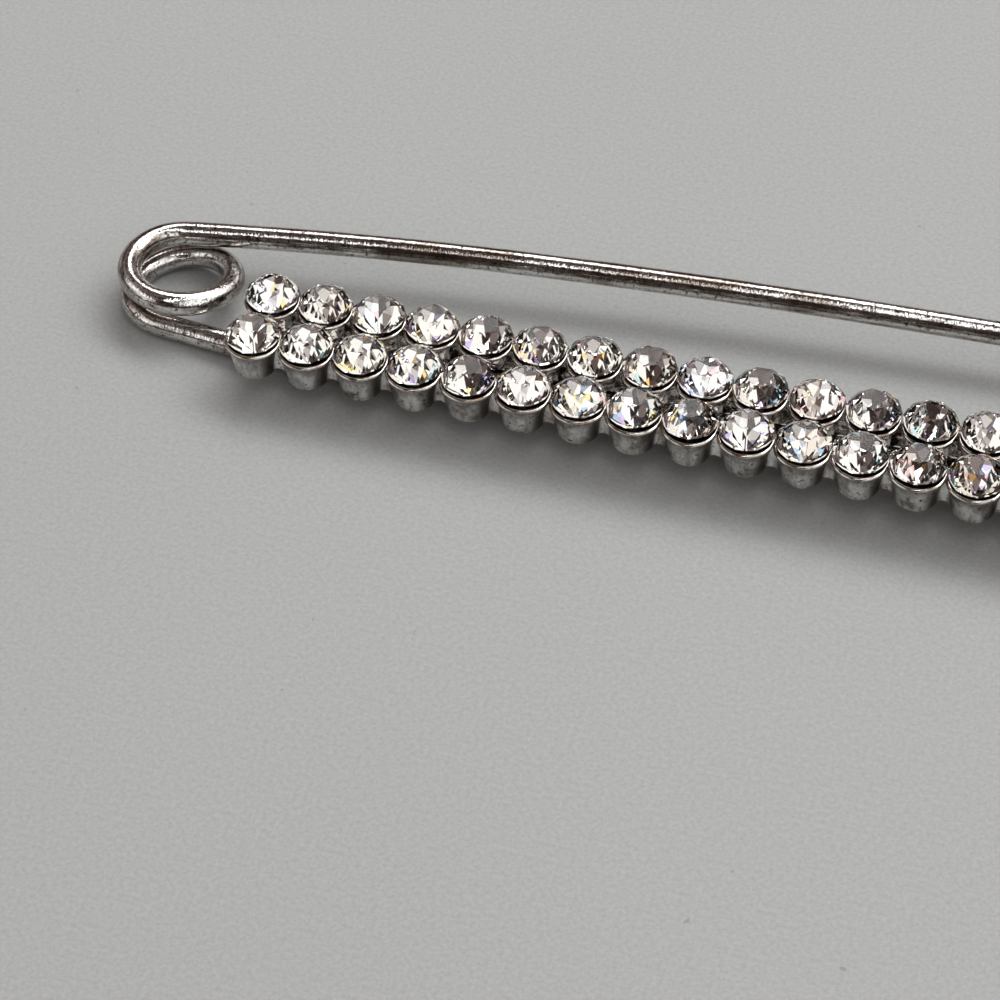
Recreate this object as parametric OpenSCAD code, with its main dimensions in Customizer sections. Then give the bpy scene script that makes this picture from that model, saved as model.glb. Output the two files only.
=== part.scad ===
// Safety pin brooch: a coiled wire pin that carries a cast bar of cups with two rows of cut stones.
// Millimetres. +X runs from the coil to the head, +Y from the stones to the opening arm, +Z up.
// The origin is the middle of the brooch's footprint, on the surface that it lies on.

/* [Brooch] */
// Length from the outside of the coil to the end of the head
overall_length = 88.9; // [84:0.1:95]
// Slope of the bar and its wire, which the head lifts off the surface, in degrees
bar_tilt = 0.5; // [0:0.1:0.8]

/* [Wire] */
// Thickness of the wire
wire_d = 1.8; // [1.4:0.05:1.9]
// Radius of the coil, to the middle of the wire
coil_r = 3.8; // [3.2:0.1:4.2]
// Height between the coil's lower and upper turns, middle to middle
coil_rise = 2.5; // [2.2:0.1:3]
// Bend of the lower wire where it leaves the bar for the coil, in degrees
rail_bend = 5.5; // [4:0.5:7]
// Direction in which the arm leaves the coil, away from the bar, in degrees
arm_angle = 11.3; // [10:0.1:12.5]
// Length of the arm's point
point_length = 9.5; // [6:0.5:12]

/* [Stones] */
// Stones in each row
stones_per_row = 16; // [8:1:16]
// Diameter of a stone
stone_d = 4.0; // [3.6:0.1:4]
// Distance between neighbouring stones of a row
pitch = 4.05; // [4.05:0.01:4.2]
// Distance between the two rows
row_gap = 4.32; // [4.2:0.02:4.5]
// Height of the stone's crown above its girdle
crown_h = 1.1; // [0.8:0.05:1.3]
// Diameter of the stone's table
table_d = 1.94; // [1.6:0.02:2.2]
// Depth of the stone's pavilion below its girdle
pavilion_h = 1.85; // [1.6:0.05:2.1]

/* [Cups] */
// Depth of a cup's bottom below the girdle
cup_depth = 3.19; // [2.9:0.01:3.3]
// Diameter of a cup's rolled rim
rim_d = 4.12; // [4.08:0.01:4.16]
// Diameter of a cup's bottom
cup_bottom_d = 3.12; // [2.8:0.02:3.4]
// Drop from the girdle to the top of the rim
rim_drop = 0.33; // [0.25:0.01:0.45]

/* [Head] */
// Length of the head
head_length = 12.3; // [11:0.1:14]
// Height of the head
head_h = 5.4; // [5:0.1:6]
// Radius of the head's outer corners
head_corner = 6; // [3:0.1:8]
// Width of the bevel round the head's top
head_edge = 0.7; // [0.3:0.1:0.8]
// Space round the arm's point in the head's channel
channel_gap = 0.25; // [0.2:0.05:0.4]

/* [Hidden] */

wire_r = wire_d / 2;
wire_sides = 16;
wire_end_gap = 0.04; // on each side of a cut between the wire's three stretches
fit_gap = 0.05; // between pieces that sit in one another

// Plan of the brooch, and below it the head, with x from the first stones' centres and y from the front row
coil_x = -8.2;
rail_y = row_gap / 2;
coil_y = rail_y + coil_r * cos(rail_bend) - tan(rail_bend) * (coil_x - coil_r * sin(rail_bend));
low_z = wire_r;
high_z = low_z + coil_rise;
girdle_z = 3.98; // the girdles above the lower wire's middle
row_end = (stones_per_row - 1) * pitch;
head_x2 = overall_length - coil_r - wire_r + coil_x;
head_x1 = head_x2 - head_length;
head_y1 = -0.4;
head_y2 = 19.9;
channel_end = 7; // how far the channel runs into the head
rail_depth = 8; // how far the lower wire runs into the head

// The first stone of the front row, in the part's frame
bar_x = coil_r + wire_r - coil_x - overall_length / 2;
bar_y = (rim_d / 2 - head_y2) / 2;

// Places on the coil, in turns from its front and clockwise seen from above
low_start = rail_bend / 360; // where the lower wire joins it
low_end = 0.33; // where the wire starts to climb
high_start = 1.05; // where it reaches the upper turn
high_end = (540 - arm_angle) / 360; // where the arm leaves it
rings_per_turn = 54;
bend_radius = 6; // of the lower wire's bend under the first stones
bend_steps = 4;

// The arm's bow: each row is a stretch's length and how many degrees it turns towards the bar
ARM_LENGTH = 0;
ARM_TURN = 1;
arm_bends = [
    [24, 5.35],
    [30, 3.45],
];
arm_straight = 15.6;
arm_ring_spacing = 3;

// The arm's point: each row is a part of its length and of the wire's radius there
POINT_ALONG = 0;
POINT_RADIUS = 1;
point_taper = [
    [0.35, 0.93],
    [0.7, 0.68],
    [0.93, 0.36],
    [1, 0.16],
];

// A cup's wall, rim and seat, and the webs between the cups
rim_r = rim_d / 2;
rim_wall = 0.24;
rim_band = 0.23;
rim_chamfer = 0.07;
neck_r = rim_r - 0.1;
seat_floor_r = 0.4;
web_half_w = 0.5;
web_top = -rim_drop - rim_band - 2 * rim_chamfer;
web_arch_r = 0.62;
web_apex = -2.5;
web_bottom = -3.0;
cross_web_w = 1.1;
cross_web_reach = 0.75;

// The stone's rings: its crown and pavilion corners lie on the flats between table, girdle and culet
half_turn = 22.5;
stone_r = stone_d / 2;
girdle_top = 0.12;
girdle_low = -0.05;
crown_r = 0.71 * stone_r;
crown_slope = (crown_h - girdle_top) / (stone_r - table_d / 2);
crown_z = crown_h - crown_slope * (crown_r * cos(half_turn) - table_d / 2);
pavilion_r = 0.31 * stone_r;
pavilion_slope = (pavilion_h + girdle_low) / stone_r;
pavilion_z = pavilion_slope * pavilion_r * cos(half_turn) - pavilion_h;

function stone_name(row, i) = str("stone_", row, i < 10 ? "0" : "", i);

function ring(r, z, sides, turn = 0) =
    [for (k = [0:sides - 1]) [r * cos(turn + k * 360 / sides), r * sin(turn + k * 360 / sides), z]];

function smooth(t) = t * t * (3 - 2 * t);

// The coil in plan and in height, by turns from its front
function coil_angle(t) = -90 - 360 * t;
function coil_plan(t) = [coil_x + coil_r * cos(coil_angle(t)), coil_y + coil_r * sin(coil_angle(t))];
function low_turn_z(t) = low_z + (coil_plan(t)[0] - coil_x + coil_r) * tan(bar_tilt);
function climb(t) = smooth((t - low_end) / (high_start - low_end));
function coil_steps(t1, t2) =
    let (steps = ceil((t2 - t1) * rings_per_turn))
    [for (n = [0:steps]) t1 + (t2 - t1) * n / steps];

// Heading, bend radius and first point of the arm's stretch n
function arm_heading(n) = n == 0 ? arm_angle : arm_heading(n - 1) - arm_bends[n - 1][ARM_TURN];
function arm_radius(n) = arm_bends[n][ARM_LENGTH] / (arm_bends[n][ARM_TURN] * PI / 180);
function arm_start(n) = n == 0 ? coil_plan(high_end) : arm_point(n - 1, 1);

// The point at a share of the arm's stretch n
function arm_point(n, share) =
    let (h1 = arm_heading(n), h2 = h1 - arm_bends[n][ARM_TURN] * share)
    arm_start(n) + arm_radius(n) * [sin(h1) - sin(h2), cos(h2) - cos(h1)];

// Direction of a path at its point k, which at its ends follows the bend of the last three points
function path_along(path, k) =
    let (last = len(path) - 1)
    k == 0 ? 4 * path[1] - path[2] - 3 * path[0]
    : k == last ? 3 * path[last] - 4 * path[last - 1] + path[last - 2]
    : path[k + 1] - path[k - 1];

// A ring of the wire round point k of its path, square to the path
function wire_ring(path, k, r) =
    let (
        along = path_along(path, k),
        forward = along / norm(along),
        out = cross([0, 0, 1], forward) / norm(cross([0, 0, 1], forward)),
        up = cross(out, forward)
    )
    [for (n = [0:wire_sides - 1])
        path[k] + r * (out * cos(n * 360 / wire_sides) + up * sin(n * 360 / wire_sides))];

// A quarter circle round x and y from the angle start on
function corner(x, y, r, start) =
    [for (k = [0:8]) [x + r * cos(start + k * 90 / 8), y + r * sin(start + k * 90 / 8)]];

// The outline of the head, drawn in by an inset
function head_outline(inset) =
    let (r = head_corner)
    concat(
        [[head_x1 + inset, head_y1 + inset]],
        corner(head_x2 - r, head_y1 + r, r - inset, 270),
        corner(head_x2 - r, head_y2 - r, r - inset, 0),
        [[head_x1 + inset, head_y2 - inset]]
    );

// Puts what is drawn from the first stones' centres into the part's frame
module place() {
    translate([bar_x, bar_y, 0])
        children();
}

// The same for what slopes with the bar: its z = 0 is the middle of the lower wire
module place_on_bar() {
    place()
        translate([coil_x - coil_r, 0, low_z])
            rotate([0, -bar_tilt, 0])
                translate([-(coil_x - coil_r), 0, 0])
                    children();
}

// Round wire along a path, thinner where thin names a share of its radius
module wire(path, thin = []) {
    last = len(path) - 1;
    rings = [
        for (k = [0:last])
            let (from_end = k - (len(path) - len(thin)))
                wire_ring(path, k, from_end < 0 ? wire_r : wire_r * thin[from_end]),
    ];
    skin = [
        for (k = [0:last - 1], n = [0:wire_sides - 1])
            let (a = k * wire_sides + n, b = k * wire_sides + (n + 1) % wire_sides)
                [a, b, b + wire_sides, a + wire_sides],
    ];
    first_cap = [for (n = [wire_sides - 1:-1:0]) n];
    last_cap = [for (n = [0:wire_sides - 1]) last * wire_sides + n];
    polyhedron(points = [for (r = rings) each r], faces = concat(skin, [first_cap, last_cap]));
}

// The lower wire: round the first third of the coil, past its bend, and under the bar to the head
module rail_wire() {
    bend_x = bend_radius * tan(rail_bend / 2);
    coil = [for (t = coil_steps(low_start, low_end)) coil_plan(t)];
    bend = [
        for (n = [0:bend_steps])
            let (turn = rail_bend * (1 - n / bend_steps))
                [bend_x - bend_radius * sin(turn), rail_y + bend_radius * (1 - cos(turn))],
    ];
    plan = concat([for (n = [len(coil) - 1:-1:0]) coil[n]], bend, [[head_x1 + rail_depth, rail_y]]);
    color("#a3a09b")
        place_on_bar()
            wire([for (p = plan) [p[0], p[1], 0]]);
}

// The part of the coil that climbs from its lower turn to its upper turn
module coil_spring() {
    gap = wire_end_gap / (2 * PI * coil_r);
    path = [
        for (t = coil_steps(low_end + gap, high_start - gap))
            [coil_plan(t)[0], coil_plan(t)[1], low_turn_z(t) * (1 - climb(t)) + high_z * climb(t)],
    ];
    color("#a3a09b")
        place()
            wire(path);
}

// The upper turn of the coil and the bowed arm with its point
module pin_arm() {
    last = len(arm_bends);
    along = [cos(arm_heading(last)), sin(arm_heading(last))];
    point_start = arm_start(last) + arm_straight * along;
    plan = concat(
        [for (t = coil_steps(high_start, high_end)) coil_plan(t)],
        [
            for (n = [0:last - 1])
                let (steps = round(arm_bends[n][ARM_LENGTH] / arm_ring_spacing))
                    for (k = [1:steps]) arm_point(n, k / steps),
        ],
        [point_start],
        [for (row = point_taper) point_start + point_length * row[POINT_ALONG] * along]
    );
    color("#a3a09b")
        place()
            wire([for (p = plan) [p[0], p[1], high_z]], [for (row = point_taper) row[POINT_RADIUS]]);
}

// One cup from outside, hung from the girdle's plane
module cup_body() {
    rotate_extrude($fn = 48)
        polygon([
            [0, -cup_depth],
            [cup_bottom_d / 2, -cup_depth],
            [neck_r, web_top],
            [rim_r, web_top + rim_chamfer],
            [rim_r, -rim_drop - rim_chamfer],
            [rim_r - rim_chamfer, -rim_drop],
            [0, -rim_drop],
        ]);
}

// The seat that the stone's pavilion drops into
module cup_seat() {
    rotate_extrude($fn = 48)
        polygon([
            [0, -pavilion_h - 3 * fit_gap],
            [seat_floor_r, -pavilion_h - 3 * fit_gap],
            [pavilion_r + 3 * fit_gap, pavilion_z - 2 * fit_gap],
            [rim_r - rim_wall, -rim_drop],
            [rim_r - rim_wall, 0.1],
            [0, 0.1],
        ]);
}

// The wall that joins a row's cups, arched below between each pair
module web_wall() {
    x1 = -rim_r / 2;
    x2 = row_end + rim_r / 2;
    difference() {
        translate([x1, -web_half_w, web_bottom])
            cube([x2 - x1, 2 * web_half_w, web_top - web_bottom]);
        for (i = [0:stones_per_row - 2])
            translate([(i + 0.5) * pitch, 0, web_apex - web_arch_r])
                rotate([90, 0, 0])
                    cylinder(h = 2 * web_half_w + 1, r = web_arch_r, center = true, $fn = 32);
    }
}

// The bar of cups: two rows, the webs along and across them, and the groove for the wire
module cup_setting() {
    color("#8f8c88")
        place_on_bar()
            difference() {
                translate([0, 0, girdle_z]) {
                    difference() {
                        union() {
                            for (y = [0, row_gap]) {
                                translate([0, y, 0])
                                    web_wall();
                                for (i = [0:stones_per_row - 1])
                                    translate([i * pitch, y, 0])
                                        cup_body();
                            }
                            for (i = [0:stones_per_row - 1])
                                translate([
                                    i * pitch - cross_web_w / 2,
                                    rail_y - cross_web_reach,
                                    web_bottom - 0.1,
                                ])
                                    cube([cross_web_w, 2 * cross_web_reach, web_top - web_bottom]);
                        }
                        for (y = [0, row_gap], i = [0:stones_per_row - 1])
                            translate([i * pitch, y, 0])
                                cup_seat();
                    }
                }
                translate([-4, rail_y, 0])
                    rotate([0, 90, 0])
                        cylinder(h = row_end + 8, r = wire_r + fit_gap, $fn = 48);
            }
}

// The plain head: a socket for the lower wire, and a channel that the arm's point swings into
module head_clasp() {
    last = len(arm_bends);
    point_y = arm_start(last)[1] + arm_straight * sin(arm_heading(last));
    channel_y = point_y - wire_r - 2 * channel_gap;
    color("#9b9893")
        difference() {
            place() {
                linear_extrude(height = head_h - head_edge)
                    polygon(head_outline(0));
                hull() {
                    translate([0, 0, head_h - 2 * head_edge])
                        linear_extrude(height = head_edge)
                            polygon(head_outline(0));
                    translate([0, 0, head_h - head_edge])
                        linear_extrude(height = head_edge)
                            polygon(head_outline(head_edge));
                }
            }
            place()
                translate([head_x1 - 1, channel_y, high_z - wire_r - channel_gap])
                    cube([channel_end + 1, head_y2 - channel_y + 1, wire_d + 2 * channel_gap]);
            place_on_bar()
                translate([head_x1 - 1, rail_y, 0])
                    rotate([0, 90, 0])
                        cylinder(h = rail_depth + 1 + fit_gap, r = wire_r + fit_gap, $fn = 48);
        }
}

// A cut stone: eight-sided table, crown, thin girdle and pointed pavilion
module stone(row_y, i) {
    points = concat(
        ring(table_d / 2, crown_h, 8),
        ring(crown_r, crown_z, 8, half_turn),
        ring(stone_r, girdle_top, 16),
        ring(stone_r, girdle_low, 16),
        ring(pavilion_r, pavilion_z, 8, half_turn),
        [[0, 0, -pavilion_h]]
    );
    color("#e8e6ea")
        place_on_bar()
            translate([(i - 1) * pitch, row_y, girdle_z])
                hull()
                    polyhedron(points = points, faces = [[for (k = [0:len(points) - 1]) k]]);
}

rail_wire();
coil_spring();
pin_arm();
cup_setting();
head_clasp();
for (i = [1:stones_per_row]) {
    stone(0, i);
    stone(row_gap, i);
}
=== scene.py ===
"""Looks of a safety pin brooch: plated wire, a cast bar of cups and two rows of foiled cut stones."""

import math
import random

import bmesh
import bpy
from mathutils import Matrix, Vector
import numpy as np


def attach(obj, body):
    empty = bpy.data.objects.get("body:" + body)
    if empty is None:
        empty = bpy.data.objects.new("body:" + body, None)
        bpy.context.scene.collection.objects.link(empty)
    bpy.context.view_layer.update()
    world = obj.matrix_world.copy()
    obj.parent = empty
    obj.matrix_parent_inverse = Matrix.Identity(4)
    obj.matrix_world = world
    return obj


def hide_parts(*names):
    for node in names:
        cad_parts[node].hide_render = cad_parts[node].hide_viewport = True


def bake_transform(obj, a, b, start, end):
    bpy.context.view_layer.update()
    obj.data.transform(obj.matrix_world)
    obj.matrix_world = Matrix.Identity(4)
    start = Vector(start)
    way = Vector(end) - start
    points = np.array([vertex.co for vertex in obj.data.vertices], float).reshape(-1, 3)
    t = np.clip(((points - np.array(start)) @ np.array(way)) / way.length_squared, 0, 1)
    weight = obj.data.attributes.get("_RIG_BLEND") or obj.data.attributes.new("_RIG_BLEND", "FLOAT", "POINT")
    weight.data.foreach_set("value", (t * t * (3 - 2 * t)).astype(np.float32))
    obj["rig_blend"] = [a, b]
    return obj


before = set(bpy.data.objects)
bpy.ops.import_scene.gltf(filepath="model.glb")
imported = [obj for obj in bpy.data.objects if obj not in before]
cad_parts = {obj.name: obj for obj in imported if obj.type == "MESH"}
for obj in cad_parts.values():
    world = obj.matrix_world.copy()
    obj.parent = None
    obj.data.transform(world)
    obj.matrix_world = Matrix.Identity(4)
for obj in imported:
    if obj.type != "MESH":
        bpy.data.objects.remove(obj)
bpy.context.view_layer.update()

# Sizes in millimetres, as in the part; MM turns them into metres
MM = 0.001
OVERALL_LENGTH = 88.9
BAR_TILT = math.radians(0.5)
WIRE_R = 0.9
COIL_R = 3.8
COIL_RISE = 2.5
RAIL_BEND = math.radians(5.5)
RAIL_BEND_R = 6
ARM_ANGLE = math.radians(11.3)
ARM_BENDS = [(24, math.radians(5.35)), (30, math.radians(3.45))]  # length and turn of each stretch
ARM_STRAIGHT = 15.6
POINT_LENGTH = 9.5
POINT_TAPER = [(0.35, 0.93), (0.7, 0.68), (0.93, 0.36), (1, 0.16)]  # place along it and share of radius
STONES_PER_ROW = 16
STONE_R = 2.0
PITCH = 4.05
ROW_GAP = 4.32
CROWN_H = 1.1
TABLE_R = 0.97
PAVILION_H = 1.85
GIRDLE_TOP = 0.12
GIRDLE_LOW = -0.05
CUP_DEPTH = 3.19
RIM_R = 2.06
CUP_BOTTOM_R = 1.56
HEAD_Y2 = 19.9
HEAD_LENGTH = 12.3
RAIL_DEPTH = 8

# Places in the plan, from the first stone of the front row, and heights
COIL_X = -8.2
RAIL_Y = ROW_GAP / 2
COIL_Y = RAIL_Y + COIL_R * math.cos(RAIL_BEND) - math.tan(RAIL_BEND) * (
    COIL_X - COIL_R * math.sin(RAIL_BEND)
)
LOW_Z = WIRE_R
HIGH_Z = LOW_Z + COIL_RISE
GIRDLE_Z = 3.98  # over the middle of the lower wire
HEAD_X1 = OVERALL_LENGTH - COIL_R - WIRE_R + COIL_X - HEAD_LENGTH
BAR_X = COIL_R + WIRE_R - COIL_X - OVERALL_LENGTH / 2
BAR_Y = (RIM_R - HEAD_Y2) / 2

# Turns of the coil, from its front, where the wire's stretches start and end
LOW_START = RAIL_BEND / (2 * math.pi)
LOW_END = 0.33
HIGH_START = 1.05
HIGH_END = 1.5 - ARM_ANGLE / (2 * math.pi)

# How finely the round shapes are divided
WIRE_SIDES = 32
CUP_SIDES = 64
COIL_STEP = 0.005

# The photograph's camera, in the part's frame
CAMERA_PLACE = (33.506, -163.1, 163.772)
CAMERA_FORWARD = (-0.19859, 0.65674, -0.72750)
CAMERA_RIGHT = (0.9590, 0.2832, -0.0062)
CAMERA_LENS = 114.95

WHITE = (1.0, 1.0, 1.0)


def placed(x, y, z):
    """A point given from the first stones, in the part's frame and metres."""
    return Vector((x + BAR_X, y + BAR_Y, z)) * MM


def on_bar(x, y, z):
    """The same for what slopes with the bar: z counts from the middle of the lower wire."""
    pivot = COIL_X - COIL_R
    along = x - pivot
    return placed(
        pivot + along * math.cos(BAR_TILT) - z * math.sin(BAR_TILT),
        y,
        LOW_Z + along * math.sin(BAR_TILT) + z * math.cos(BAR_TILT),
    )


def smooth(t):
    return t * t * (3 - 2 * t)


def fade(value, start, end):
    """0 up to start, 1 from end on, and smooth between them."""
    return smooth(min(1.0, max(0.0, (value - start) / (end - start))))


def steps(start, end, spacing):
    """Even steps from start to end, no wider than the spacing."""
    count = max(2, math.ceil(abs(end - start) / spacing))
    return [start + (end - start) * n / count for n in range(count + 1)]


def new_object(name, bm, materials, body=None, nodes=(), smooth_faces=True):
    """A mesh piece that rides on a body and stands for the CAD nodes that it names."""
    mesh = bpy.data.meshes.new(name)
    bm.to_mesh(mesh)
    bm.free()
    for polygon in mesh.polygons:
        polygon.use_smooth = smooth_faces
    obj = bpy.data.objects.new(name, mesh)
    bpy.context.scene.collection.objects.link(obj)
    for material in materials:
        mesh.materials.append(material)
    if body:
        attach(obj, body)
    if nodes:
        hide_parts(*nodes)
    return obj


# Materials


class Nodes:
    """A node tree under construction, with short names for the nodes that repeat."""

    def __init__(self, tree):
        self.nodes = tree.nodes
        self.links = tree.links

    def new(self, kind):
        return self.nodes.new(f"ShaderNode{kind}")

    def link(self, source, target):
        self.links.new(source, target)

    def feed(self, socket, value):
        """Links what another node gives, and sets a colour or a number."""
        if isinstance(value, bpy.types.NodeSocket):
            self.link(value, socket)
        elif isinstance(value, tuple):
            socket.default_value = (*value, 1)
        else:
            socket.default_value = value

    def math(self, operation, a, b):
        node = self.new("Math")
        node.operation = operation
        self.feed(node.inputs[0], a)
        self.feed(node.inputs[1], b)
        return node.outputs[0]

    def times(self, a, b):
        return self.math("MULTIPLY", a, b)

    def plus(self, a, b):
        return self.math("ADD", a, b)

    def split(self, vector):
        """The x, y and z of a vector."""
        node = self.new("SeparateXYZ")
        self.link(vector, node.inputs[0])
        return node.outputs

    def ramp(self, value, *stops):
        """A colour for each value, from stops with a place and a colour or a grey."""
        node = self.new("ValToRGB")
        elements = node.color_ramp.elements
        while len(elements) < len(stops):
            elements.new(0.5)
        for element, (position, colour) in zip(elements, stops):
            element.position = position
            element.color = (*colour, 1) if isinstance(colour, tuple) else (colour, colour, colour, 1)
        self.link(value, node.inputs["Fac"])
        return node.outputs["Color"]


class Shader(Nodes):
    """A material; its patterns lie on the object, or along a vector attribute where one is named."""

    def __init__(self, name, attribute=None):
        self.material = bpy.data.materials.new(name)
        self.material.use_nodes = True
        super().__init__(self.material.node_tree)
        self.bsdf = self.nodes["Principled BSDF"]
        if attribute:
            self.place = self.attribute(attribute).outputs["Vector"]
        else:
            self.place = self.new("TexCoord").outputs["Object"]

    def attribute(self, name):
        node = self.new("Attribute")
        node.attribute_name = name
        return node

    def set(self, values):
        """Feeds the main shader's inputs, by their names."""
        for name, value in values.items():
            self.feed(self.bsdf.inputs[name], value)

    def noise(self, scale, detail, roughness, stretch=(1, 1, 1)):
        mapping = self.new("Mapping")
        mapping.inputs["Scale"].default_value = stretch
        self.link(self.place, mapping.inputs["Vector"])
        node = self.new("TexNoise")
        node.inputs["Scale"].default_value = scale
        node.inputs["Detail"].default_value = detail
        node.inputs["Roughness"].default_value = roughness
        self.link(mapping.outputs["Vector"], node.inputs["Vector"])
        return node.outputs["Fac"]

    def mix(self, factor, a, b, blend="MIX"):
        node = self.new("Mix")
        node.data_type = "RGBA"
        node.blend_type = blend
        self.feed(node.inputs[0], factor)
        self.feed(node.inputs[6], a)
        self.feed(node.inputs[7], b)
        return node.outputs[2]

    def darkened(self, factor, colour, by):
        """A colour multiplied by another, by the share that the factor gives."""
        return self.mix(factor, colour, by, "MULTIPLY")

    def facet_colour(self):
        node = self.new("VertexColor")
        node.layer_name = "facet_tint_and_painted_fire"
        return node.outputs["Color"]

    def bump(self, height, distance, strength, after=None):
        node = self.new("Bump")
        node.inputs["Distance"].default_value = distance
        node.inputs["Strength"].default_value = strength
        self.link(height, node.inputs["Height"])
        if after:
            self.link(after, node.inputs["Normal"])
        return node.outputs["Normal"]


def plated_wire():
    """Polished plating on drawn wire: tarnished brown in patches and pitted, with a painted dark reflection
    band along its upper sides.
    """
    s = Shader("plated_wire", "wire_place")
    stains = s.noise(210, 4, 0.6, stretch=(0.5, 1.6, 1.6))
    streaks = s.noise(700, 3, 0.6, stretch=(0.35, 2.0, 2.0))
    ribs = s.noise(6500, 2, 0.5, stretch=(1.0, 0.5, 0.5))
    grain = s.noise(5600, 3, 0.7, stretch=(1.0, 0.8, 0.8))
    waves = s.noise(900, 2, 0.5, stretch=(1.0, 0.8, 0.8))
    pits = s.noise(2400, 3, 0.7)
    tone = s.ramp(
        stains,
        (0.41, (0.36, 0.31, 0.275)),
        (0.49, (0.72, 0.70, 0.675)),
        (0.6, (0.92, 0.92, 0.91)),
    )
    streaked = s.darkened(0.5, tone, s.ramp(streaks, (0.32, (0.5, 0.47, 0.45)), (0.52, WHITE)))
    # Painted reflection: colour set by height round the wire, darkest along the upper sides and a little
    # dark underneath; the streaks break up its edges.
    height = s.times(s.split(s.place)["Z"], 450.0)
    tarnish_and_painted_reflection = s.ramp(
        s.plus(height, s.times(streaks, 0.9)),
        (0.32, (0.8, 0.77, 0.74)),
        (0.40, (1.0, 1.0, 0.99)),
        (0.52, (1.0, 1.0, 0.99)),
        (0.58, (0.54, 0.51, 0.485)),
        (0.64, (0.6, 0.57, 0.55)),
        (0.70, WHITE),
    )
    aged_with_painted_reflection = s.darkened(1.0, streaked, tarnish_and_painted_reflection)
    grained = s.darkened(0.6, aged_with_painted_reflection, s.ramp(grain, (0.38, (0.24, 0.21, 0.19)), (0.5, WHITE)))
    clean = s.ramp(pits, (0.36, 0.0), (0.43, 1.0))
    bent = s.bump(waves, 0.00002, 1.0)
    ribbed = s.bump(ribs, 0.00002, 1.0, bent)
    s.set({
        "Base Color": s.mix(clean, (0.12, 0.10, 0.09), grained),
        "Metallic": 1.0,
        "Roughness": s.ramp(stains, (0.36, 0.15), (0.6, 0.07)),
        "Normal": s.bump(pits, 0.000015, 0.45, ribbed),
    })
    return s.material


def cast_metal():
    """The bar's cast metal: grey and mottled, scratched upright, black in its pits, and darkened as painted
    shade on the cups' sides beside the webs, at the webs' ends and under the rims.
    """
    s = Shader("cast_metal")
    cloud = s.noise(560, 5, 0.62)
    grain = s.noise(3200, 4, 0.7)
    streaks = s.noise(1500, 3, 0.6, stretch=(1.4, 1.4, 0.3))
    tone = s.ramp(
        cloud,
        (0.36, (0.34, 0.29, 0.26)),
        (0.46, (0.80, 0.78, 0.75)),
        (0.6, (1.0, 0.99, 0.96)),
    )
    shade = s.darkened(0.6, tone, s.ramp(streaks, (0.36, 0.3), (0.56, 1.0)))
    # Painted shade: the tone is darkened toward a dark brown-grey where the vertex mask of the cups and webs
    # is set.
    with_painted_shade = s.mix(s.attribute("painted_shade").outputs["Fac"], shade, (0.12, 0.095, 0.085))
    clean = s.ramp(grain, (0.36, 0.0), (0.415, 1.0))
    lumps = s.bump(cloud, 0.00008, 0.5)
    s.set({
        "Base Color": s.mix(clean, (0.06, 0.05, 0.045), with_painted_shade),
        "Metallic": 1.0,
        "Roughness": s.ramp(cloud, (0.3, 0.4), (0.7, 0.26)),
        "Normal": s.bump(grain, 0.00003, 0.7, lumps),
    })
    return s.material


def gap_metal_painted_shade():
    """The walls between the rows: glossy metal, near black in patches as painted shade, bright between them.
    """
    s = Shader("gap_metal_painted_shade")
    cloud = s.noise(900, 3, 0.6)
    s.set({
        "Base Color": s.ramp(cloud, (0.42, (0.06, 0.048, 0.042)), (0.54, (0.9, 0.86, 0.82))),
        "Metallic": 1.0,
        "Roughness": 0.14,
        "Normal": s.bump(cloud, 0.00025, 0.8),
    })
    return s.material


def rim_metal():
    """The rolled rims, rubbed bright."""
    s = Shader("rim_metal")
    wear = s.noise(1100, 4, 0.6)
    s.set({
        "Base Color": s.ramp(wear, (0.4, (0.32, 0.26, 0.22)), (0.58, (0.72, 0.68, 0.63))),
        "Metallic": 1.0,
        "Roughness": 0.15,
        "Normal": s.bump(wear, 0.00006, 0.5),
    })
    return s.material


def seat_painted_shade():
    """The cups' insides, the gaps under the stones and a thin line under each rim: near-black painted shade.
    """
    s = Shader("seat_painted_shade")
    painted_shade = s.noise(900, 4, 0.6)
    s.set({
        "Base Color": s.ramp(painted_shade, (0.3, (0.012, 0.010, 0.010)), (0.8, (0.04, 0.033, 0.03))),
        "Metallic": 0.6,
        "Roughness": 0.45,
    })
    return s.material


def sheet_metal():
    """The head's sheet, plated, with soft wear."""
    s = Shader("sheet_metal")
    wear = s.noise(420, 5, 0.7)
    scratches = s.noise(1200, 2, 0.5, stretch=(0.2, 1.4, 1.4))
    s.set({
        "Base Color": s.ramp(wear, (0.3, (0.54, 0.52, 0.50)), (0.65, (0.68, 0.665, 0.645))),
        "Metallic": 1.0,
        "Roughness": s.ramp(wear, (0.3, 0.36), (0.7, 0.25)),
        "Normal": s.bump(scratches, 0.000012, 0.6, s.bump(wear, 0.00002, 0.3)),
    })
    return s.material


def cut_glass():
    """The stones' clear glass above the foil; a few small facets carry painted fire, flashes of colour."""
    s = Shader("cut_glass")
    s.set({
        "Base Color": s.facet_colour(),
        "Roughness": 0.0,
        "IOR": 1.56,
        "Specular Tint": (0.3, 0.3, 0.3),
        "Transmission Weight": 1.0,
    })
    return s.material


def back_foil():
    """The foil behind the pavilion: each facet has its own tint, a few of them strongly coloured as painted
    fire.
    """
    s = Shader("back_foil")
    s.set({"Base Color": s.facet_colour(), "Metallic": 1.0, "Roughness": 0.03})
    return s.material


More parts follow.
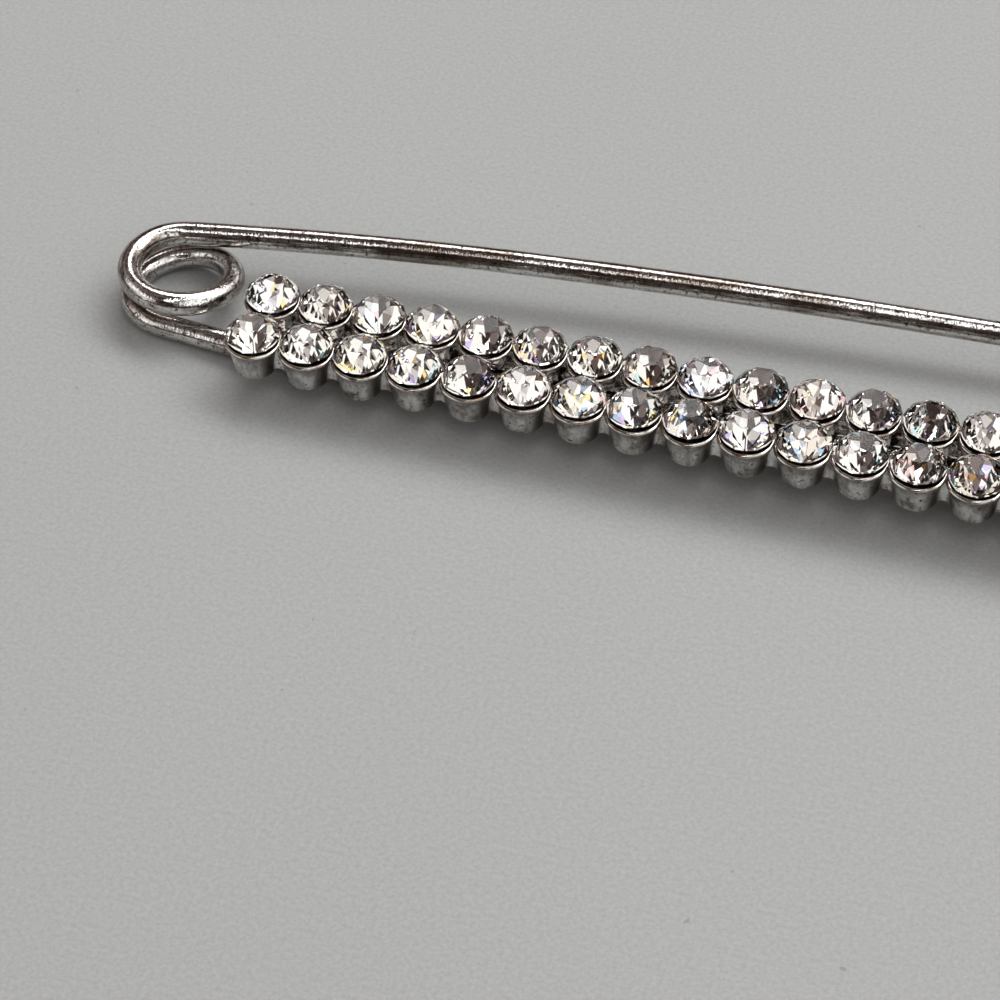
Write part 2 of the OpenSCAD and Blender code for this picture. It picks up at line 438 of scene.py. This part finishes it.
def floor_paper():
    """A pale grey floor with faint grain and scattered specks."""
    s = Shader("floor_paper")
    cloud = s.noise(12, 3, 0.5)
    grain = s.noise(3000, 3, 0.8)
    specks = s.noise(1100, 2, 0.5)
    tone = s.ramp(cloud, (0.3, (0.397, 0.405, 0.399)), (0.7, (0.413, 0.421, 0.415)))
    grained = s.darkened(0.7, tone, s.ramp(grain, (0.35, 0.8), (0.65, 1.06)))
    clean = s.ramp(specks, (0.22, 0.0), (0.25, 1.0))
    s.set({
        "Base Color": s.mix(clean, (0.3, 0.3, 0.3), grained),
        "Roughness": 0.6,
        "Specular IOR Level": 0.3,
    })
    return s.material


# Wire


def sweep(bm, path, radii, start, side):
    """A round tube along a path of points in metres, closed at both ends.

    Each corner keeps its place on the wire: how far along from start, and its two offsets from the middle.
    """
    place = bm.verts.layers.float_vector.new("wire_place")
    up = Vector((0, 0, 1))
    rings = []
    along = start
    last = len(path) - 1
    for k, (point, radius) in enumerate(zip(path, radii)):
        if k == 0:
            forward = (4 * path[1] - path[2] - 3 * path[0]).normalized()
        elif k == last:
            forward = (3 * path[last] - 4 * path[last - 1] + path[last - 2]).normalized()
        else:
            forward = (path[k + 1] - path[k - 1]).normalized()
        out = up.cross(forward).normalized()
        over = forward.cross(out)
        if k:
            along += side * (point - path[k - 1]).length
        ring = []
        for n in range(WIRE_SIDES):
            a = 2 * math.pi * n / WIRE_SIDES
            across = (radius * math.cos(a) * MM, radius * math.sin(a) * MM)
            vert = bm.verts.new(point + out * across[0] + over * across[1])
            vert[place] = (along, side * across[0], across[1])
            ring.append(vert)
        rings.append(ring)
    for low, high in zip(rings, rings[1:]):
        for n in range(WIRE_SIDES):
            m = (n + 1) % WIRE_SIDES
            bm.faces.new((low[n], low[m], high[m], high[n]))
    bm.faces.new(list(reversed(rings[0])))
    bm.faces.new(rings[-1])
    bmesh.ops.recalc_face_normals(bm, faces=bm.faces)
    return along


def coil_plan(turns):
    """The middle of the coil's wire, seen from above, so many turns on from its front."""
    angle = -math.pi / 2 - 2 * math.pi * turns
    return COIL_X + COIL_R * math.cos(angle), COIL_Y + COIL_R * math.sin(angle)


def rail_path():
    """From the coil down its tangent, round a slight bend and straight on into the head."""
    bend_x = RAIL_BEND_R * math.tan(RAIL_BEND / 2)
    plan = [coil_plan(turns) for turns in steps(LOW_END, LOW_START, COIL_STEP)]
    touch = plan[-1]
    bend = [
        (bend_x - RAIL_BEND_R * math.sin(a), RAIL_Y + RAIL_BEND_R * (1 - math.cos(a)))
        for a in steps(RAIL_BEND, 0, RAIL_BEND / 5)
    ]
    for share in steps(0, 1, 0.08)[1:-1]:
        plan.append(tuple(t + (b - t) * share for t, b in zip(touch, bend[0])))
    plan += bend
    plan += [(x, RAIL_Y) for x in steps(bend_x, HEAD_X1 + RAIL_DEPTH, 0.7)[1:]]
    return [on_bar(x, y, 0) for x, y in plan]


def spring_path():
    """The climb from the coil's lower turn to its upper one."""
    path = []
    for turns in steps(LOW_END, HIGH_START, COIL_STEP):
        x, y = coil_plan(turns)
        climb = smooth((turns - LOW_END) / (HIGH_START - LOW_END))
        path.append(on_bar(x, y, 0).lerp(placed(x, y, HIGH_Z), climb))
    return path


def arm_path():
    """The arm's points and the wire's radius at each."""
    plan = [coil_plan(turns) for turns in steps(HIGH_START, HIGH_END, COIL_STEP)]
    x, y = plan[-1]
    heading = ARM_ANGLE
    for length, turn in ARM_BENDS:
        radius = length / turn
        for a in steps(0, turn, turn / 30)[1:]:
            h = heading - a
            plan.append((
                x + radius * (math.sin(heading) - math.sin(h)),
                y + radius * (math.cos(h) - math.cos(heading)),
            ))
        x, y = plan[-1]
        heading -= turn
    for s in steps(0, ARM_STRAIGHT, 1.0)[1:]:
        plan.append((x + s * math.cos(heading), y + s * math.sin(heading)))
    radii = [WIRE_R] * len(plan)
    for along, share in POINT_TAPER:
        s = ARM_STRAIGHT + along * POINT_LENGTH
        plan.append((x + s * math.cos(heading), y + s * math.sin(heading)))
        radii.append(WIRE_R * share)
    return [placed(px, py, HIGH_Z) for px, py in plan], radii


def build_wires(material):
    """The three stretches of the wire; the lower one runs back from the coil, so its places count down."""
    along = 0.0
    for name, path, radii, body, side in (
        ("rail_wire", rail_path(), None, "bar", -1),
        ("coil_spring", spring_path(), None, None, 1),
        ("pin_arm", *arm_path(), "arm", 1),
    ):
        bm = bmesh.new()
        end = sweep(bm, path, radii or [WIRE_R] * len(path), along, side)
        along = end if side > 0 else 0.0
        obj = new_object(f"{name}_plated", bm, [material], body, [name])
        obj.data.set_sharp_from_angle(angle=math.radians(50))
        if body is None:
            start = placed(COIL_X, COIL_Y, LOW_Z)
            top = placed(COIL_X, COIL_Y, HIGH_Z)
            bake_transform(obj, "bar", "arm", start=start, end=top)


# The bar of cups; heights count from the girdles

WEB_TOP, WEB_BOTTOM, WEB_HALF, WEB_LENGTH = -0.7, -3.0, 0.5, 1.9
ARCH_TOP, ARCH_R = -2.5, 0.62
CROSS_WEB = (0.55, 0.75, WEB_BOTTOM - 0.05, WEB_TOP)  # half length, half width, low and high
FILLING = (1.1, 0.95, -2.5, -1.9)  # the same for the block that closes the space between four cups
WALL, RIM, SEAT, GAP = 0, 1, 2, 3
CUP_PROFILE = [  # radius, height over the girdle, and the material of the band above the point
    (0.0, -CUP_DEPTH, WALL),
    (CUP_BOTTOM_R - 0.22, -CUP_DEPTH, WALL),
    (CUP_BOTTOM_R - 0.07, -CUP_DEPTH + 0.05, WALL),
    (CUP_BOTTOM_R, -CUP_DEPTH + 0.18, WALL),
    (1.62, -2.5, WALL),
    (1.77, -1.6, WALL),
    (RIM_R - 0.12, -0.84, WALL),
    # The thin band above this point takes the near-black painted shade of the seat, a dark line under the
    # rim.
    (RIM_R - 0.1, -0.79, SEAT),
    (RIM_R - 0.01, -0.68, RIM),
    (RIM_R + 0.05, -0.62, RIM),
    (RIM_R + 0.06, -0.55, RIM),
    (RIM_R + 0.04, -0.50, RIM),
    (RIM_R - 0.01, -0.465, RIM),
    (RIM_R - 0.07, -0.44, RIM),
    (RIM_R - 0.13, -0.43, SEAT),
    (RIM_R - 0.2, -0.47, SEAT),
    (1.0, -1.36, SEAT),
    (0.3, -PAVILION_H - 0.15, SEAT),
    (0.0, -PAVILION_H - 0.15, SEAT),
]
MOST_WOBBLE = 0.02
WOBBLE_SHARE = 0.35
WEB_PAINTED_SHADE = (0.18, 0.5)  # how far from a web's middle the painted shade starts and is full
GAP_MARGIN = 0.4  # between a row's middle and the walls that take the gap's painted-shade metal


def add_cup(bm, x, y, chance):
    """One cup by turning its profile, a little uneven as cast metal is, with painted shade on its sides
    beside the webs and under its rim.
    """
    painted_shade = bm.verts.layers.float["painted_shade"]
    wobble = [chance.uniform(-MOST_WOBBLE, MOST_WOBBLE) for _ in range(3)]
    rings = []
    for radius, z, _ in CUP_PROFILE:
        if radius == 0:
            rings.append([bm.verts.new(on_bar(x, y, GIRDLE_Z + z))])
            continue
        ring = []
        for n in range(CUP_SIDES):
            a = 2 * math.pi * n / CUP_SIDES
            uneven = sum(w * math.cos((k + 2) * a + k) for k, w in enumerate(wobble))
            r = radius * (1 + uneven * WOBBLE_SHARE)
            vert = bm.verts.new(on_bar(x + r * math.cos(a), y + r * math.sin(a), GIRDLE_Z + z))
            # Painted shade: full on the cup's sides where the webs join, half strength under the rim.
            on_right = fade(math.cos(a), 0.42, 0.88)
            on_left = fade(-math.cos(a), 0.6, 0.97)
            under_rim = fade(z, -1.4, -0.75) * 0.5
            vert[painted_shade] = max(on_right, on_left, under_rim)
            ring.append(vert)
        rings.append(ring)
    for (_, _, material), low, high in zip(CUP_PROFILE, rings, rings[1:]):
        for n in range(CUP_SIDES):
            m = (n + 1) % CUP_SIDES
            corners = [low[n % len(low)], low[m % len(low)], high[m % len(high)], high[n % len(high)]]
            unique = list(dict.fromkeys(corners))
            bm.faces.new(unique).material_index = material


def add_web(bm, middle, y):
    """The wall between two cups of a row, in columns that end on the arch under it."""
    painted_shade = bm.verts.layers.float["painted_shade"]
    columns = []
    for dx in steps(-WEB_LENGTH / 2, WEB_LENGTH / 2, WEB_LENGTH / 24):
        low = WEB_BOTTOM
        if abs(dx) < ARCH_R:
            low = max(ARCH_TOP - ARCH_R + math.sqrt(ARCH_R**2 - dx**2), WEB_BOTTOM)
        corners = []
        for z, side in ((low, -1), (WEB_TOP, -1), (WEB_TOP, 1), (low, 1)):
            vert = bm.verts.new(on_bar(middle + dx, y + side * WEB_HALF, GIRDLE_Z + z))
            # Painted shade toward the web's ends, where it meets the cups.
            vert[painted_shade] = fade(abs(dx), *WEB_PAINTED_SHADE)
            corners.append(vert)
        columns.append(corners)
    for left, right in zip(columns, columns[1:]):
        for n in range(4):
            m = (n + 1) % 4
            bm.faces.new((left[n], right[n], right[m], left[m])).material_index = WALL


def add_block(bm, middle, half_length, half_width, low, high):
    """A plain block between the two rows, over the lower wire."""
    x1, x2 = middle - half_length, middle + half_length
    y1, y2 = RAIL_Y - half_width, RAIL_Y + half_width
    corners = []
    for z in (low, high):
        for x, y in ((x1, y1), (x2, y1), (x2, y2), (x1, y2)):
            corners.append(bm.verts.new(on_bar(x, y, GIRDLE_Z + z)))
    for k in range(4):
        m = (k + 1) % 4
        bm.faces.new((corners[k], corners[m], corners[m + 4], corners[k + 4]))
    bm.faces.new(corners[3::-1])
    bm.faces.new(corners[4:])


def build_setting(materials):
    """The two rows of cups with their webs; what lies between the rows takes the gap's metal, darkened as
    painted shade.
    """
    chance = random.Random(7)
    bm = bmesh.new()
    # The vertex mask of painted shade on the cups and webs.
    bm.verts.layers.float.new("painted_shade")
    at_cups = [i * PITCH for i in range(STONES_PER_ROW)]
    between_cups = [(i + 0.5) * PITCH for i in range(STONES_PER_ROW - 1)]
    for y in (0, ROW_GAP):
        for x in at_cups:
            add_cup(bm, x, y, chance)
        for x in between_cups:
            add_web(bm, x, y)
    for x in at_cups:
        add_block(bm, x, *CROSS_WEB)
    for x in between_cups:
        add_block(bm, x, *FILLING)
    bmesh.ops.recalc_face_normals(bm, faces=bm.faces)
    front = (BAR_Y + GAP_MARGIN) * MM
    back = (BAR_Y + ROW_GAP - GAP_MARGIN) * MM
    for face in bm.faces:
        if face.material_index == WALL and front < face.calc_center_median().y < back:
            face.material_index = GAP
    obj = new_object("cup_bar", bm, materials, "bar", ["cup_setting"])
    obj.data.set_sharp_from_angle(angle=math.radians(35))


# Stones

STAR_R = 1.42
LOWER_R = 1.4
CORNER_SHARE = 0.965  # of the girdle's radius, at every second corner
MOST_LEAN = 3.2  # degrees
# Colours of the painted fire: flashes of split light painted on facets.
COOL = [(0.25, 0.5, 1.0), (0.5, 0.38, 1.0), (0.45, 0.85, 1.0)]
WARM = [(1.0, 0.5, 0.1), (1.0, 0.78, 0.2), (1.0, 0.5, 0.6)]
CLEAR = (0.985, 0.967, 0.945)
BROWNISH = (0.86, 0.79, 0.74)
BROWNISH_SHARE = 0.12  # of the foil's facets that don't flash
GLASS_FLASH_SHARE = 0.09  # of the glass's small facets
GLASS, FOIL = 0, 1


def ring_of(radius, z, count, turn=0.0):
    angles = [turn + 2 * math.pi * k / count for k in range(count)]
    return [Vector((radius * math.cos(a), radius * math.sin(a), z)) for a in angles]


def glass_tint_and_painted_fire(chance, side, small):
    """A facet's colour in the glass: clear, and now and then a small one with a painted flash of colour, as
    painted fire.
    """
    if small and chance.random() < GLASS_FLASH_SHARE:
        return chance.choice(COOL if chance.random() > 0.5 + side * 0.4 else WARM)
    return CLEAR


def foil_tint_and_painted_fire(chance, side, small):
    """A facet's colour in the foil: silver or brownish; toward the sides more facets get painted flashes of
    colour, as painted fire.
    """
    flash_share = 0.06 + 0.5 * max(0.0, abs(side) - 0.3)
    if chance.random() < flash_share:
        flash = chance.choice(COOL if side < 0 else WARM)
        return flash if small else tuple(0.9 + 0.1 * c for c in flash)
    if chance.random() < BROWNISH_SHARE:
        return BROWNISH
    grey = chance.uniform(0.9, 1.0)
    return (grey, grey * chance.uniform(0.97, 1.0), grey * chance.uniform(0.92, 0.99))


def stone_levels():
    """A stone's corners, level by level, round its own middle."""
    half = math.pi / 8
    crown_slope = (CROWN_H - GIRDLE_TOP) / (STONE_R - TABLE_R)
    star_z = CROWN_H - crown_slope * (STAR_R * math.cos(half) - TABLE_R)
    lower_slope = (PAVILION_H + GIRDLE_LOW) / STONE_R
    lower_z = -PAVILION_H + lower_slope * LOWER_R * math.cos(half)
    radii = [STONE_R, STONE_R * CORNER_SHARE] * 8
    outline = [(r * p.x, r * p.y) for r, p in zip(radii, ring_of(1, 0, 16))]
    return {
        "table": ring_of(TABLE_R, CROWN_H, 8),
        "star": ring_of(STAR_R, star_z, 8, half),
        "girdle": [Vector((px, py, GIRDLE_TOP)) for px, py in outline],
        "edge": [Vector((px, py, GIRDLE_LOW)) for px, py in outline],
        "lower": ring_of(LOWER_R, lower_z, 8, half),
        "culet": [Vector((0, 0, -PAVILION_H))],
    }


def build_stone(name, x, y, materials):
    """A round cut stone: table, stars, kites and halves over the girdle, mains and halves under it."""
    chance = random.Random(f"{name} 3")
    spin = Matrix.Rotation(chance.uniform(0, math.pi / 4), 3, "Z")
    lean_angle = math.radians(chance.uniform(0, MOST_LEAN))
    lean_axis = (chance.uniform(-1, 1), chance.uniform(-1, 1), 0)
    lean = Matrix.Rotation(lean_angle, 3, lean_axis)
    bm = bmesh.new()
    corners = {}
    for level, points in stone_levels().items():
        corners[level] = []
        for p in points:
            q = lean @ spin @ p
            corners[level].append(bm.verts.new(on_bar(x + q.x, y + q.y, GIRDLE_Z + q.z)))
    table, star, girdle, edge, lower, culet = corners.values()
    facets = [(table, GLASS)]
    for k in range(8):
        before, after = (k - 1) % 8, (k + 1) % 8
        g0, g1, g2 = 2 * k, 2 * k + 1, (2 * k + 2) % 16
        facets += [
            ((table[k], star[k], table[after]), GLASS),
            ((table[k], star[before], girdle[g0], star[k]), GLASS),
            ((star[k], girdle[g0], girdle[g1]), GLASS),
            ((star[k], girdle[g1], girdle[g2]), GLASS),
            ((girdle[g0], edge[g0], edge[g1], girdle[g1]), GLASS),
            ((girdle[g1], edge[g1], edge[g2], girdle[g2]), GLASS),
            ((edge[g0], lower[k], edge[g1]), FOIL),
            ((edge[g1], lower[k], edge[g2]), FOIL),
            ((culet[0], lower[k], edge[g0], lower[before]), FOIL),
        ]
    tint = bm.loops.layers.float_color.new("facet_tint_and_painted_fire")
    for facet, material in facets:
        face = bm.faces.new(facet)
        face.material_index = material
        side = (face.calc_center_median().x / MM - BAR_X - x) / STONE_R
        tint_of = foil_tint_and_painted_fire if material == FOIL else glass_tint_and_painted_fire
        # Each facet's colour, with painted fire on the flashing ones.
        colour = (*tint_of(chance, side, len(facet) == 3), 1)
        for loop in face.loops:
            loop[tint] = colour
    bmesh.ops.recalc_face_normals(bm, faces=bm.faces)
    new_object(f"{name}_cut", bm, materials, "bar", [name], smooth_faces=False)


def build_stones(materials):
    for row, y in (("f", 0), ("b", ROW_GAP)):
        for i in range(STONES_PER_ROW):
            build_stone(f"stone_{row}{i + 1:02d}", i * PITCH, y, materials)


def build_head(material):
    """The head: the solid's own shape with its edges rounded."""
    bm = bmesh.new()
    bm.from_mesh(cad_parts["head_clasp"].data)
    bmesh.ops.remove_doubles(bm, verts=bm.verts, dist=1e-7)
    bmesh.ops.dissolve_limit(bm, angle_limit=math.radians(2), verts=bm.verts, edges=bm.edges)
    obj = new_object("head_cap", bm, [material], "bar", ["head_clasp"])
    bevel = obj.modifiers.new("rounded_edges", "BEVEL")
    bevel.width = 0.25 * MM
    bevel.segments = 3
    bevel.limit_method = "ANGLE"
    bevel.angle_limit = math.radians(30)
    obj.data.set_sharp_from_angle(angle=math.radians(40))


# Floor, light and camera

FLOOR_REACH = 1.6  # metres from its middle to each side


def build_floor(material):
    bm = bmesh.new()
    bmesh.ops.create_grid(bm, x_segments=1, y_segments=1, size=FLOOR_REACH)
    floor = new_object("floor", bm, [material])


def area_light(name, place, size, energy):
    """A rectangular light that faces the middle of the brooch."""
    light = bpy.data.lights.new(name, "AREA")
    light.shape = "RECTANGLE"
    light.size, light.size_y = size
    light.energy = energy
    obj = bpy.data.objects.new(name, light)
    obj.location = place
    obj.rotation_mode = "QUATERNION"
    obj.rotation_quaternion = (-Vector(place)).to_track_quat("-Z", "Y")
    bpy.context.scene.collection.objects.link(obj)


class Room(Nodes):
    """The world's light, by direction: what the metal and the stones reflect."""

    def __init__(self, name):
        world = bpy.data.worlds.new(name)
        world.use_nodes = True
        bpy.context.scene.world = world
        super().__init__(world.node_tree)
        self.direction = self.new("TexCoord").outputs["Generated"]

    def rise(self, value, start, end):
        """0 up to start, 1 from end on, and smooth between them."""
        node = self.new("MapRange")
        node.interpolation_type = "SMOOTHSTEP"
        self.link(value, node.inputs["Value"])
        node.inputs["From Min"].default_value = start
        node.inputs["From Max"].default_value = end
        return node.outputs["Result"]

    def noise(self, scale, detail):
        node = self.new("TexNoise")
        node.inputs["Scale"].default_value = scale
        node.inputs["Detail"].default_value = detail
        self.link(self.direction, node.inputs["Vector"])
        return node.outputs["Fac"]

    def rest_of(self, value):
        return self.math("SUBTRACT", 1.0, value)


def build_room():
    """A room that is bright to the sides, faint behind, patchy, and otherwise a dark brown."""
    room = Room("room")
    x, y, z = room.split(room.direction)
    noise = room.noise(4.6, 2.0)
    rightward = room.times(room.rise(x, 0.14, 0.5), 1.05)
    right = room.times(rightward, room.rise(z, 0.15, 0.6))
    leftward = room.rise(room.times(x, -1.0), 0.3, 0.52)
    band = room.times(room.rise(z, 0.16, 0.3), room.rest_of(room.rise(z, 0.62, 0.76)))
    frontward = room.rest_of(room.rise(y, -0.2, 0.25))
    window = room.times(room.times(band, frontward), 1.1)
    left = room.times(leftward, room.plus(window, 0.08))
    sides = room.times(room.plus(right, left), room.plus(noise, 0.5))
    backward = room.times(room.rise(y, 0.0, 0.6), room.rest_of(leftward))
    back = room.times(backward, 0.12)
    patches = room.times(room.rise(noise, 0.5, 0.6), 0.17)
    colour = room.ramp(
        room.plus(room.plus(sides, back), patches),
        (0.0, (0.036, 0.025, 0.023)),
        (0.12, (0.115, 0.08, 0.07)),
        (0.4, (0.42, 0.385, 0.375)),
        (0.9, (1.15, 1.14, 1.12)),
    )
    room.link(colour, room.nodes["Background"].inputs["Color"])


def build_lights():
    """A wide soft light behind the brooch and a narrow one above it, in their room."""
    area_light("behind", (0.2, 0.53, 0.85), (1.3, 0.43), 7.9)
    area_light("overhead", (0.1, -0.03, 0.985), (1.5, 0.12), 2.1)
    build_room()
    bpy.context.scene.view_settings.view_transform = "Standard"


def build_camera():
    camera = bpy.data.cameras.new("camera")
    camera.lens = CAMERA_LENS
    camera.sensor_width = 36
    camera.clip_start, camera.clip_end = 0.01, 10
    obj = bpy.data.objects.new("camera", camera)
    forward = Vector(CAMERA_FORWARD).normalized()
    right = Vector(CAMERA_RIGHT).normalized()
    turned = Matrix((right, right.cross(forward), -forward)).transposed()
    obj.matrix_world = Matrix.Translation(Vector(CAMERA_PLACE) * MM) @ turned.to_4x4()
    bpy.context.scene.collection.objects.link(obj)
    bpy.context.scene.camera = obj


build_camera()
build_lights()
build_floor(floor_paper())
build_wires(plated_wire())
build_setting([cast_metal(), rim_metal(), seat_painted_shade(), gap_metal_painted_shade()])
build_stones([cut_glass(), back_foil()])
build_head(sheet_metal())

bpy.context.view_layer.update()
